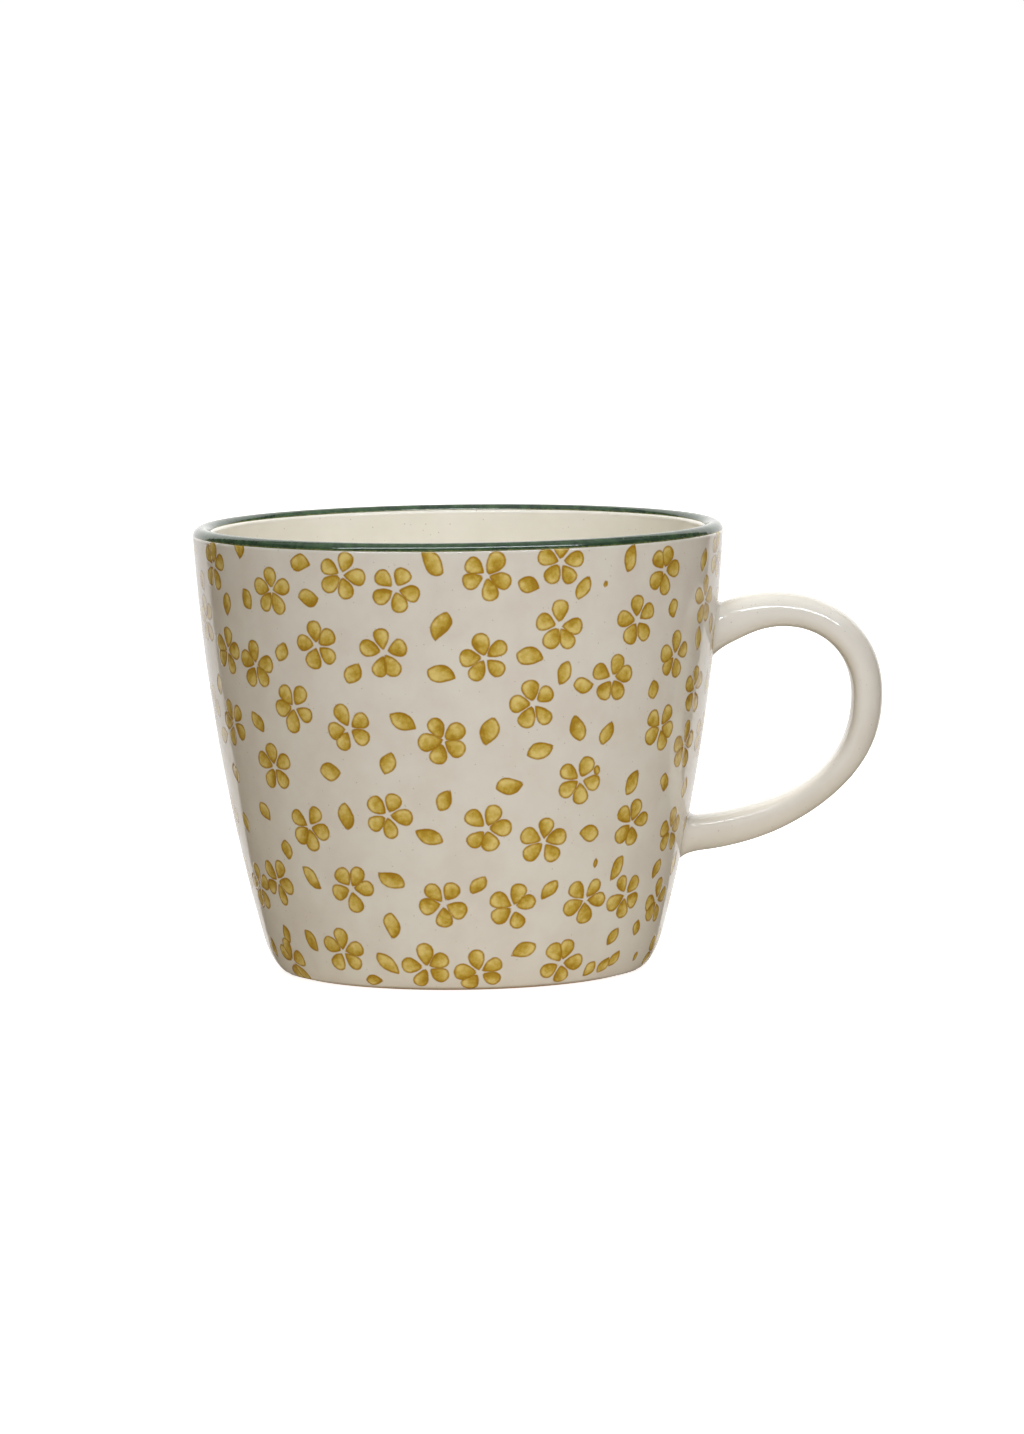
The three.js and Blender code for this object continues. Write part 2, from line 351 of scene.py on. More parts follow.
# The wall's cream with the stamps in it. The gap to the nearest stamp's outline, made to waver by
# a fine noise, gives the pigment and its dark edge. The gap to the second nearest gives overlaps.
def makeStampedGlaze():
    material, tree = newMaterial("stampedCreamGlaze")
    cream, cloud, creamHeight, place = addCreamGlaze(tree, "wall")
    look = stampPigment
    gaps = addNode(tree, "Attribute", attribute_name="stampGap")
    spot = addNode(tree, "Attribute", attribute_name="stampPlace")
    gapParts = addNode(tree, "SeparateXYZ", {"Vector": gaps.outputs["Vector"]}).outputs
    spotParts = addNode(tree, "SeparateXYZ", {"Vector": spot.outputs["Vector"]}).outputs
    noises = {}
    for name, detail in (("waverSize", 2.0), ("washFine", 2.0), ("washSize", 3.0)):
        noises[name] = addNode(tree, "TexNoise", {"Vector": place, "Scale": 1 / (look[name] * mm),
                                                  "Detail": detail})
    waver = addNode(tree, "Math", {0: noises["waverSize"], 1: look["waver"], 2: -look["waver"] / 2},
                    operation="MULTIPLY_ADD")
    nearest = addNode(tree, "Math", {0: gapParts[0], 1: gapParts[1]}, operation="MINIMUM")
    second = addNode(tree, "Math", {0: gapParts[0], 1: gapParts[1]}, operation="MAXIMUM")
    gap = addNode(tree, "Math", {0: nearest, 1: waver}, operation="ADD")
    wash = addNode(tree, "Math", {0: noises["washFine"], 1: look["fineShare"], 2: noises["washSize"]},
                   operation="MULTIPLY_ADD")
    side = wash
    for part, push in ((1, look["ranAside"]), (0, -look["ranInwards"]), (2, look["toneShare"])):
        side = addNode(tree, "Math", {0: spotParts[part], 1: push, 2: side}, operation="MULTIPLY_ADD")
    shares = {}
    for name, source, start, end, low, high in (
            ("pigment", gap, look["fringe"], -look["fringe"], 0.0, 1.0),
            ("edge", gap, -look["edgeWidth"], -look["edgeInside"], 0.0, 1.0),
            ("edgeWash", wash, *look["edgeWash"], look["edgeLeast"], 1.0),
            ("full", side, *look["fullWash"], 0.0, 1.0),
            ("pooled", side, *look["pooledWash"], 0.0, look["pooledMost"]),
            ("overlap", second, 0.0, -look["overlapDepth"], 0.0, look["overlapMost"])):
        shares[name] = addNode(tree, "MapRange", {"Value": source, "From Min": start, "From Max": end,
                                                  "To Min": low, "To Max": high},
                               interpolation_type="SMOOTHSTEP")
    edge = addNode(tree, "Math", {0: shares["edge"], 1: shares["edgeWash"]}, operation="MULTIPLY")
    colour = look["thin"]
    for share, tone in ((shares["full"], "full"), (shares["pooled"], "pooled"), (edge, "edge"),
                        (shares["overlap"], "pooled")):
        colour = addNode(tree, "Mix", {"Factor": share, 6: colour, 7: look[tone]},
                         data_type="RGBA").outputs[2]
    colour = addNode(tree, "Mix", {"Factor": shares["pigment"], 6: cream, 7: colour}, data_type="RGBA")
    relief = addNode(tree, "Math", {0: shares["pigment"], 1: look["relief"]}, operation="MULTIPLY")
    height = addNode(tree, "Math", {0: shares["edge"], 1: relief, 2: creamHeight},
                     operation="MULTIPLY_ADD")
    finishShader(tree, creamGlaze, colour.outputs[2], cloud, height)
    return material


# Copper green glaze brushed on the rim, glossy and nearly black where it is thick; it thins to a
# yellow green at the band's edges, and has pin bubbles.
greenGlaze = {
    "thick": "#263b2a", "middle": "#3b5537", "thin": "#8a8c58", "ior": 1.56,
    "streakSize": 2.4, "streakFine": 0.7, "streaks": (0.38, 0.68), "streakDepth": 0.05,
    "fray": 0.5, "fadeStart": 0.1, "fadeEnd": -0.35,
    "bubbleSpacing": 1.1, "bubbleSize": 0.14, "bubbleCore": 0.3, "bubbleDepth": 0.05,
    "roughSpan": (0.3, 0.7), "roughLow": 0.09, "roughHigh": 0.15,
}


# Two greens mixed by a broad noise, then the thin tone where the gap to the band's edge, frayed by
# a fine noise, is small. Bubbles are pits at the middles of cells.
def makeGreenGlaze():
    material, tree = newMaterial("copperGreenGlaze")
    look = greenGlaze
    place = addNode(tree, "TexCoord").outputs["Object"]
    edgeGap = addNode(tree, "Attribute", attribute_name="edgeGap").outputs["Fac"]
    broad = addNode(tree, "TexNoise", {"Vector": place, "Scale": 1 / (look["streakSize"] * mm)})
    fineNoise = addNode(tree, "TexNoise", {"Vector": place, "Scale": 1 / (look["streakFine"] * mm)})
    share = addNode(tree, "MapRange", {"Value": broad, "From Min": look["streaks"][0],
                                       "From Max": look["streaks"][1]})
    green = addNode(tree, "Mix", {"Factor": share, 6: look["thick"], 7: look["middle"]}, data_type="RGBA")
    ragged = addNode(tree, "Math", {0: fineNoise, 1: -look["fray"], 2: edgeGap}, operation="MULTIPLY_ADD")
    fade = addNode(tree, "MapRange", {"Value": ragged, "From Min": look["fadeStart"],
                                      "From Max": look["fadeEnd"]}, interpolation_type="SMOOTHSTEP")
    colour = addNode(tree, "Mix", {"Factor": fade, 6: green.outputs[2], 7: look["thin"]},
                     data_type="RGBA")
    cells = addNode(tree, "TexVoronoi", {"Vector": place, "Scale": 1 / (look["bubbleSpacing"] * mm)})
    size = look["bubbleSize"] / look["bubbleSpacing"]
    bubble = addNode(tree, "MapRange", {"Value": cells, "From Min": size,
                                        "From Max": size * look["bubbleCore"],
                                        "To Max": -look["bubbleDepth"]}, interpolation_type="SMOOTHSTEP")
    height = addNode(tree, "Math", {0: broad, 1: look["streakDepth"], 2: bubble}, operation="MULTIPLY_ADD")
    finishShader(tree, look, colour.outputs[2], fineNoise, height)
    return material


# Bare stoneware of the foot: fired buff brown, matt and gritty.
bareClay = {
    "light": "#b79c7c", "dark": "#93785a", "grit": "#6e5843", "ior": 1.5,
    "clouds": 5.0, "gritSpacing": 0.9, "gritSize": 0.25, "gritCore": 0.5, "gritDark": 0.6,
    "grain": 0.5, "grainDepth": 0.05, "roughSpan": (0.0, 1.0), "roughLow": 0.7, "roughHigh": 0.9,
}


# Clouded buff with dark grit at the middles of cells, and a rough grain.
def makeBareClay():
    material, tree = newMaterial("bareStonewareClay")
    look = bareClay
    place = addNode(tree, "TexCoord").outputs["Object"]
    clouds = addNode(tree, "TexNoise", {"Vector": place, "Scale": 1 / (look["clouds"] * mm), "Detail": 4.0})
    grain = addNode(tree, "TexNoise", {"Vector": place, "Scale": 1 / (look["grain"] * mm), "Detail": 2.0})
    cells = addNode(tree, "TexVoronoi", {"Vector": place, "Scale": 1 / (look["gritSpacing"] * mm)})
    base = addNode(tree, "Mix", {"Factor": clouds, 6: look["light"], 7: look["dark"]}, data_type="RGBA")
    size = look["gritSize"] / look["gritSpacing"]
    grit = addNode(tree, "MapRange", {"Value": cells, "From Min": size, "From Max": size * look["gritCore"],
                                      "To Max": look["gritDark"]})
    colour = addNode(tree, "Mix", {"Factor": grit, 6: base.outputs[2], 7: look["grit"]},
                     data_type="RGBA")
    height = addNode(tree, "Math", {0: grain, 1: look["grainDepth"]}, operation="MULTIPLY")
    finishShader(tree, look, colour.outputs[2], grain, height)
    return material


# Gives a finished piece its material and its body, and hides its CAD nodes. Its slot name is not used.
def settle(piece, material, slotName, *nodes):
    piece.data.materials.append(material)
    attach(piece, "root")
    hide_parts(*nodes)
    print(piece.name, len(piece.data.polygons), "faces")


# The number of each face corner's point.
def cornerPoints(mesh):
    corners = np.empty(len(mesh.loops), np.int64)
    mesh.loops.foreach_get("vertex_index", corners)
    return corners


# A corner attribute of the mesh, from one row of values for each face corner.
def addCornerData(mesh, name, kind, values):
    layer = mesh.attributes.new(name, kind, "CORNER")
    layer.data.foreach_set("value" if kind == "FLOAT" else "vector", values.ravel().astype(np.float32))


# One sheet of stamps covers half the wall. Each flower is: degrees round from the front towards
# the handle, height in mm, and the turn of its first petal in degrees clockwise from upright.
flowers = [
    (-25.5, 80, 24), (-13.5, 77.5, 24), (-44, 76.5, 0), (-66, 80, 10), (-32.5, 66.5, 52),
    (-16.5, 65.5, 0), (-51.5, 62, 0), (-63, 64, 15), (-40.5, 54.5, 43), (-26, 51, 50),
    (-4, 49, 56), (-65, 50, -20), (-49.5, 42.5, 0), (-40.5, 31.5, 32), (-18, 34.5, 26),
    (-30, 20, 30), (-5, 17.5, 36), (-57, 20, 30), (-69, 18, 0), (-36, 7.5, 0),
    (-10.5, 5, 60), (-60, 4, 0), (6, 80, 29), (22, 82, 2), (22, 70, 3),
    (42, 70, -4), (36, 59.5, 8), (16.5, 55.5, 57), (5.5, 64.5, 57), (29, 40.5, 29),
    (6, 32, 17), (20.5, 29, 6), (46.5, 31, 19), (13.5, 16.5, 14), (34, 17, 30),
    (48.5, 17, 38), (29, 5, 30), (4.5, 4, 59), (50, 79, 23), (56, 62.5, 2),
    (53, 49, 25), (66, 44.5, 0), (69, 72, 0), (68, 55, 0), (66, 28, 0), (66, 14.5, 0),
]

# Each single petal or leaf is: degrees round, height, turn of its length clockwise from upright,
# length and width in mm.
leaves = [
    (-54, 84, 0, 3.8, 3), (-35.5, 82, 100, 4.3, 3.3), (-34, 75.5, 90, 4.3, 3.3), (-52.5, 74.5, 150, 4, 3),
    (-61, 73, 5, 4.3, 3), (-5.5, 82.5, 135, 5.3, 3.4), (-4, 70.5, 20, 5.5, 3.4), (-24, 61.5, 30, 4.3, 3.2),
    (-4, 61.5, 110, 5, 3.5), (-42.5, 65, 25, 4, 3), (-71, 57, 0, 4, 3), (-53.5, 51, 145, 4.5, 3),
    (-13, 52.5, 120, 5.2, 3.2), (-17, 44.5, 20, 4.3, 3), (-32, 42.5, 90, 4.3, 3.4),
    (-69.5, 40, 160, 4, 3), (-56.5, 33.5, 145, 4, 3), (-69, 30.5, 160, 4, 3), (-29, 34, 5, 5, 3.3),
    (-50, 26.5, 0, 3.7, 3), (-4, 37.5, 30, 4.3, 2.8), (-8, 30.5, 115, 5.2, 3), (-42.5, 21.5, 135, 5.2, 2.8),
    (-18.5, 22, 120, 5.2, 3.2), (-19.5, 13, 5, 4.9, 3.1), (-59, 9.5, 165, 3.5, 2.6),
    (-47.5, 9, 145, 4.5, 2.8), (-22, 5.5, 140, 5.3, 2.9), (-27.5, 2, 90, 3.5, 2.5),
    (-72, 6, 165, 4, 3), (15, 78, 110, 4.1, 3.1),
    (27.5, 77, 25, 4.6, 2.7), (39.5, 82, 20, 5, 2.9), (33, 77.5, 0, 1.5, 1), (15.5, 64.5, 105, 5, 3.5),
    (23.5, 61, 25, 4.6, 2.8), (28.5, 58.5, 90, 4.1, 3), (6.5, 50.5, 15, 5.3, 3.4), (18.5, 46.5, 70, 5, 3.2),
    (27.5, 50.5, 165, 5, 3.2), (35.5, 49, 20, 4.5, 2.8), (49, 56.5, 170, 3.5, 3), (54, 71.5, 165, 3.5, 3),
    (67, 65, 5, 4.5, 3), (67, 80, 15, 4.5, 3), (76, 67, 0, 4, 3), (11.5, 40, 80, 5, 3.3),
    (4, 21, 35, 4, 2.6), (23, 19.5, 35, 4.4, 2.6), (33, 30, 95, 4.2, 3.2), (33.5, 42, 15, 2, 1.5),
    (45, 39, 30, 5, 3), (58, 38, 0, 3.5, 3), (71, 36, 10, 4, 3), (43.5, 22.5, 30, 5, 2.7),
    (36, 24, 0, 1.9, 1), (61.5, 21, 25, 4, 2.8), (17, 8, 65, 4.8, 3), (46.5, 9, 35, 3.9, 2.4),
    (57, 10, 10, 3, 2.5), (61, 4, 25, 2, 1.5), (40, 3, 30, 3.5, 2.6), (45.5, 3.5, 30, 3.5, 2.6),
    (49.5, 4.5, 30, 3.5, 2.4),
]

# How the stamps are laid and cut. Pairs are the least and the most. Inner and outer are the powers
# that make an outline's ends: near 1 a point, and at one half round.
stamping = {
    "petals": 5, "petalLength": 4.38, "petalWidth": 3.36,
    "petalReach": 2.62,  # from the flower's middle to a petal's
    "petalScatter": 7, "reachScatter": 0.03, "sizeScatter": 0.05,
    "petalInner": (0.82, 1.05), "petalOuter": 0.5, "flowerTone": 0.7, "petalTone": 0.3,
    "leafLonger": 1.12, "leafWider": 1.1,
    "leafSkew": (0.06, 0.2), "leafInner": (0.95, 1.15), "leafOuter": (0.78, 0.98),
    "outlinePoints": 22, "broadWave": 0.03, "fineWave": 0.015,
    "gapReach": 1.0,  # how far outside an outline its gap is kept
    # for the wall that the sheets leave bare: the least gaps between middles, how often a place is
    # tried, where that part starts in degrees, and the heights and sizes there
    "flowerGap": 10.5, "leafGap": 7.2, "mixedCloser": 2.6, "fillTries": 900, "fillEdge": 72,
    "fillHeights": (3, 83), "fillLengths": (3.8, 5), "fillWidths": (2.8, 3.3),
}
farAway = 9.0  # a gap in mm where there is no stamp near


# Adds stamps where the two sheets leave bare wall: places are drawn at random, and one is kept
# if it is far enough from all the stamps that are already there.
def filledIn(flowerList, leafList):
    placed = [(a, z, True) for a, z, _ in flowerList] + [(a, z, False) for a, z, *_ in leafList]
    flowerList, leafList = list(flowerList), list(leafList)
    for attempt in range(stamping["fillTries"]):
        isFlower = attempt < stamping["fillTries"] / 2
        away = rng.uniform(0, 90 - stamping["fillEdge"]) * rng.choice([-1, 1])
        angle = 90 + away
        height = rng.uniform(*stamping["fillHeights"])
        turn = rng.uniform(0, 180)
        near = stamping["flowerGap"] if isFlower else stamping["leafGap"]
        others = np.array(placed, float)
        around = (others[:, 0] - angle + 90) % 180 - 90
        gap = np.hypot(np.radians(around) * wallRadius(height), others[:, 1] - height)
        if np.all(gap > near - stamping["mixedCloser"] * (others[:, 2] == 0) * isFlower):
            placed.append((angle, height, isFlower))
            if isFlower:
                flowerList.append((angle, height, turn))
            else:
                leafList.append((angle, height, turn, rng.uniform(*stamping["fillLengths"]),
                                 rng.uniform(*stamping["fillWidths"])))
    return flowerList, leafList


# All stamps as rows: degrees round, place along the wall, turn, half length, half width, then how
# sharply each side comes to the inner and the outer end, two seeds for the wavy outline, a tone
# from 0 to 1, and which side the pigment has run to.
def allStamps(alongWall):
    flowerList, leafList = filledIn(flowers, leaves)
    rows = []
    for half in (0, 180):
        for angle, height, turn in flowerList:
            radius = wallRadius(height)
            middle = alongWall(height)
            tone = rng.uniform(0, stamping["flowerTone"])
            for k in range(stamping["petals"]):
                lean = turn + 360 / stamping["petals"] * k + rng.normal(0, stamping["petalScatter"])
                lean = math.radians(lean)
                reach = stamping["petalReach"] * (1 + rng.normal(0, stamping["reachScatter"]))
                long, wide = rng.normal(1, stamping["sizeScatter"], 2)
                across = angle + math.degrees(reach * math.sin(lean) / radius)
                inner = rng.uniform(*stamping["petalInner"])
                outer = stamping["petalOuter"]
                rows.append([across + half, middle + reach * math.cos(lean), lean,
                             long * stamping["petalLength"] / 2, wide * stamping["petalWidth"] / 2,
                             inner, outer, inner, outer, *rng.uniform(0, 2 * math.pi, 2),
                             tone + rng.uniform(0, stamping["petalTone"]), rng.choice([-1, 1])])
        for angle, height, turn, length, width in leafList:
            flip = rng.choice([0, 180])
            skew = rng.uniform(*stamping["leafSkew"]) * rng.choice([-1, 1])
            inner, outer = rng.uniform(*stamping["leafInner"]), rng.uniform(*stamping["leafOuter"])
            rows.append([angle + half, alongWall(height), math.radians(turn + flip),
                         length / 2 * stamping["leafLonger"], width / 2 * stamping["leafWider"],
                         inner + skew, outer - skew, inner - skew, outer + skew,
                         *rng.uniform(0, 2 * math.pi, 2), rng.uniform(0, 1), rng.choice([-1, 1])])
    return np.array(rows)


# A stamp's outline: its half width at t, from -1 at its inner end to 1 at its outer end, is
# (1 + t)^p (1 - t)^q, scaled so that its widest place has the stamp's half width. Each side has its
# own p and q, and two low waves.
def stampOutline(stamp):
    halfLength, halfWidth, rightInner, rightOuter, leftInner, leftOuter, broadSeed, fineSeed = stamp[3:11]
    t = -np.cos(np.linspace(0, math.pi, stamping["outlinePoints"]))
    sides = []
    for sign, p, q in ((1, rightInner, rightOuter), (-1, leftInner, leftOuter)):
        widest = (p - q) / (p + q)
        top = (1 + widest) ** p * (1 - widest) ** q
        waves = 1 + stamping["broadWave"] * np.sin(3 * t + sign + broadSeed)
        waves += stamping["fineWave"] * np.sin(8 * t + fineSeed)
        wide = halfWidth * (1 + t) ** p * (1 - t) ** q / top * waves
        sides.append(np.stack([halfLength * t, sign * wide], axis=1))
    return np.concatenate([sides[0][:-1], sides[1][:0:-1]])


# Signed distance from points to a closed outline, negative inside: the least distance to any of
# its straight pieces, and the even-odd rule for the sign.
def outlineDistance(outline, x, y):
    x0, y0 = outline[:, 0], outline[:, 1]
    dx, dy = np.roll(x0, -1) - x0, np.roll(y0, -1) - y0
    px, py = x[..., None] - x0, y[..., None] - y0
    share = np.clip((px * dx + py * dy) / (dx * dx + dy * dy), 0, 1)
    gap = np.sqrt(((px - share * dx) ** 2 + (py - share * dy) ** 2).min(axis=-1))
    crosses = (py < 0) != (py - dy < 0)
    ahead = px < dx * py / np.where(dy == 0, 1e-9, dy)
    inside = (crosses & ahead).sum(axis=-1) % 2 == 1
    return np.where(inside, -gap, gap)


# The four corners of each face of a grid, in the order of the wall's faces.
def atCorners(grid):
    return np.stack([grid[:-1, :-1], grid[1:, :-1], grid[1:, 1:], grid[:-1, 1:]], axis=2)


# Every stamp on the grid of the unrolled wall's corners: for each face, its two nearest stamps'
# distances at its four corners, and the place along and across the nearest one, from -1 to 1.
def stampFields(stamps, along, radius):
    turn = 360 / turnSteps
    rows = len(along) - 1
    gaps = np.full((2, rows, turnSteps, 4), farAway)
    spots = np.zeros((rows, turnSteps, 4, 3))
    for stamp in stamps:
        angle, middleUp, lean, halfLength, halfWidth = stamp[:5]
        tone, ranTo = stamp[11:]
        reach = halfLength + stamping["gapReach"]
        near = np.nonzero((along[:-1] > middleUp - reach) & (along[1:] < middleUp + reach))[0]
        if len(near) == 0:
            continue
        lines = np.arange(near[0], near[-1] + 2)
        aside = math.degrees(reach / radius[lines].min())
        columns = np.arange(int((angle - aside) // turn), int((angle + aside) // turn) + 2)
        right = np.radians(columns * turn - angle) * radius[lines][:, None]
        up = np.repeat((along[lines] - middleUp)[:, None], len(columns), axis=1)
        lengthwise = right * math.sin(lean) + up * math.cos(lean)
        across = right * math.cos(lean) - up * math.sin(lean)
        gap = outlineDistance(stampOutline(stamp), lengthwise, across)
        spot = np.stack([lengthwise / halfLength, across * ranTo / halfWidth,
                         np.full(gap.shape, tone)], axis=-1)
        gap, spot = atCorners(gap), atCorners(spot)
        window = np.ix_(near, columns[:-1] % turnSteps)
        first, second, oldSpot = gaps[0][window], gaps[1][window], spots[window]
        middle = gap.mean(axis=-1)
        isFirst = (middle < first.mean(axis=-1))[..., None]
        isSecond = (middle < second.mean(axis=-1))[..., None] & ~isFirst
        gaps[1][window] = np.where(isFirst, first, np.where(isSecond, gap, second))
        gaps[0][window] = np.where(isFirst, gap, first)
        spots[window] = np.where(isFirst[..., None], spot, oldSpot)
    return gaps, spots


# The outer coat's steps, and where its faces lie in the bake's picture, as shares of it.
wall = {
    "rows": 152, "innerRows": 8, "lipRows": 40,
    "margin": 0.01, "halfStart": 0.06, "halfStep": 0.465, "halfTall": 0.455,
    "hiddenStart": 0.005, "hiddenTall": 0.045,
}


# The outer coat: a thin shell turned from the wall's profile, whose outer face carries the stamps as
# the corner attributes stampGap and stampPlace.
def makeDecoratedWall(material):
    lip = lipRun(bandStart, -rimLean, lipRadius, wall["lipRows"])
    outer = np.concatenate([lip[:-1], wallProfile, heelProfile[1:int(len(fine) * cup["heelGlazed"])]])
    outer = evenly(outer, wall["rows"])
    inner = evenly(movedInside(outer, cup["glaze"]), wall["innerRows"])
    loop = np.concatenate([outer, inner[::-1]])
    piece = turnedPiece("decoratedWall", loop)
    mesh = piece.data

    length = np.concatenate([[0], np.cumsum(np.linalg.norm(np.diff(outer, axis=0), axis=1))])
    along = length[-1] - length  # up the wall, from its lower edge

    def alongWall(height):
        return float(np.interp(height, outer[::-1, 1], along[::-1]))

    stamps = allStamps(alongWall)
    fields, spots = stampFields(stamps, along, outer[:, 0])
    print("stamps placed:", len(stamps))

    # the corners of the outer face take the distances; the hidden face has none
    corners = cornerPoints(mesh).reshape(-1, 4)
    faces = np.arange(len(corners))
    outside = faces < wall["rows"] * turnSteps
    faceColumn = faces[outside] % turnSteps
    cornerRow, cornerColumn = np.divmod(corners[outside], turnSteps)
    wraps = (faceColumn[:, None] == turnSteps - 1) & (cornerColumn == 0)
    cornerColumn = np.where(wraps, turnSteps, cornerColumn)
    gaps = np.full((len(corners), 4, 3), farAway)
    places = np.zeros((len(corners), 4, 3))
    gaps[outside, :, 0] = fields[0].reshape(-1, 4)
    gaps[outside, :, 1] = fields[1].reshape(-1, 4)
    places[outside] = spots.reshape(-1, 4, 3)
    addCornerData(mesh, "stampGap", "FLOAT_VECTOR", gaps)
    addCornerData(mesh, "stampPlace", "FLOAT_VECTOR", places)

    # the bake's own layout: two halves of the wall one above the other, the hidden face below them
    flat = np.zeros((len(corners), 4, 2))
    wide = 1 - 2 * wall["margin"]
    half = (faceColumn >= turnSteps // 2)[:, None]
    flat[outside, :, 0] = wall["margin"] + wide * (cornerColumn - half * turnSteps // 2) / (turnSteps // 2)
    flat[outside, :, 1] = wall["halfStart"] + wall["halfStep"] * half
    flat[outside, :, 1] += wall["halfTall"] * along[cornerRow] / length[-1]
    hidden = ~outside
    hiddenRow, hiddenColumn = np.divmod(corners[hidden], turnSteps)
    last = (faces[hidden] % turnSteps == turnSteps - 1)[:, None]
    hiddenColumn = np.where(last & (hiddenColumn == 0), turnSteps, hiddenColumn)
    hiddenRow = np.where(hiddenRow == 0, len(loop), hiddenRow) - wall["rows"]
    flat[hidden, :, 0] = wall["margin"] + wide * hiddenColumn / turnSteps
    flat[hidden, :, 1] = wall["hiddenStart"] + wall["hiddenTall"] * hiddenRow / (wall["innerRows"] + 3)
    layer = mesh.uv_layers.new(name="OFBake")
    layer.data.foreach_set("uv", flat.ravel().astype(np.float32))
    settle(piece, material, "stamped_glaze", "outer_glaze")


# How many steps the turned pieces take along each part of their profiles.
steps = {
    "bandFace": 26, "bandUnder": 8, "linerLip": 12, "linerFace": 120, "linerBack": 24,
    "linerFloor": 21, "clayHidden": 24, "clayShown": 14, "clayLip": 10, "clayInside": 24, "patch": 25,
}
poleRadius = 0.8  # of the innermost ring, round the fan in a floor's middle
hiddenGap = 0.5  # what the band's hidden face has as its gap to the edge


# The green band: a crescent between two arcs round the lip's centre, turned round the cup.
def makeGreenBand(material):
    face = lipRun(bandStart, bandEnd, lipRadius, steps["bandFace"])
    under = lipRun(bandStart, bandEnd, lipRadius - cup["glaze"], steps["bandUnder"])[::-1]
    loop = np.concatenate([under, face])[::-1]
    piece = turnedPiece("greenRimBand", loop)
    # the gap to the band's nearer edge, in mm, by which its colour thins
    angle = np.linspace(bandStart, bandEnd, len(face))
    gap = np.minimum(angle - bandStart, bandEnd - angle) * lipRadius
    gap = np.concatenate([np.full(len(under), hiddenGap), gap])[::-1]
    addCornerData(piece.data, "edgeGap", "FLOAT", gap[cornerPoints(piece.data) // turnSteps])
    settle(piece, material, "green_band", "rim_band")


# The liner: the inside's profile from the band's inner edge to the floor's middle, and the same
# profile moved out into the clay, turned as one closed shell.
def makeLiner(material):
    wallFace, bendFace = insideProfile(cup["wall"], 0)
    lipEnd = lipRun(bandEnd, math.pi + rimLean, lipRadius, steps["linerLip"])
    face = evenly(np.concatenate([lipEnd, wallFace[1:], bendFace[1:]]), steps["linerFace"])
    back = evenly(movedInside(face, -cup["glaze"]), steps["linerBack"])
    level = cup["floorLevel"]
    middle = np.linspace(face[-1], [poleRadius, level], steps["linerFloor"] + 1)[1:]
    loop = np.concatenate([[[0, level]], middle[::-1], face[::-1], back, [[0, level - cup["glaze"]]]])
    settle(turnedPiece("creamLiner", loop, poles=True), material, "liner_glaze", "inner_glaze")


# The turned foot, in mm: its corners are softened by short cuts, so far in and so far up.
footRing = {"flat": 1.0, "cutIn": 0.15, "cutLow": 0.04, "cutUp": 0.2, "topIn": 0.1, "topRun": 3,
            "middle": 8.0}


# The clay: every coated face moved in under its coat, the bare heel, and the turned foot's ring
# with its recess, turned as one solid.
def makeClayCup(material):
    coat = cup["glaze"]
    outside = movedInside(np.concatenate([wallProfile, heelProfile[1:]]), coat)
    cut = int(len(outside) - len(fine) * (1 - cup["heelGlazed"]))
    hidden = evenly(movedInside(outside[:cut], cup["tuck"]), steps["clayHidden"])
    shown = evenly(outside[cut:], steps["clayShown"])
    under = coat + cup["tuck"]
    lip = lipRun(-rimLean, math.pi + rimLean, lipRadius - under, steps["clayLip"])[::-1]
    wallBack, bendBack = insideProfile(cup["wall"] - under, -under)
    inside = evenly(np.concatenate([wallBack, bendBack[1:]]), steps["clayInside"])
    ring = footRing
    top = cup["recessDepth"] + coat
    edge = cup["footRadius"] - cup["footWidth"]
    back = edge - cup["recessSide"] * top / cup["recessDepth"]
    foot = np.array([[cup["footRadius"] - ring["flat"], 0], [edge + ring["flat"], 0],
                     [edge + ring["cutIn"], ring["cutLow"]], [edge, ring["cutUp"]],
                     [back + ring["cutIn"], top - ring["cutUp"]], [back - ring["topIn"], top],
                     [back - ring["topRun"], top], [ring["middle"], top], [0, top]])
    floor = [[0, cup["floorLevel"] - under]]
    loop = np.concatenate([floor, inside[::-1], lip[1:-1], hidden, shown, foot])
    settle(turnedPiece("stonewareClay", loop, poles=True), material, "stoneware_clay", "cup_body")


# The glazed patch in the foot, in mm. Each point of its edge is so far in and so far up.
patch = {"edge": ((0.8, 0), (0.3, 0.03), (0.05, 0.14), (0, 0.26)), "backIn": 3, "short": 0.02}


# The patch of glaze in the foot's recess: a thin disc with a rounded rim.
def makeFootGlaze(material):
    low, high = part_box("foot_glaze")
    radius = (high.y - low.y) / 2 / mm
    under, top = low.z / mm, high.z / mm - patch["short"]
    edge = [[radius - inwards, under + up] for inwards, up in patch["edge"]]
    inner = np.linspace([poleRadius, under], edge[0], steps["patch"] + 1)[:-1]
    loop = np.concatenate([[[0, under]], inner, edge, [[radius - patch["short"], top]],
                           [[radius - patch["backIn"], top], [0, top]]])
    settle(turnedPiece("footGlaze", loop[::-1], poles=True), material, "foot_glaze", "foot_glaze")


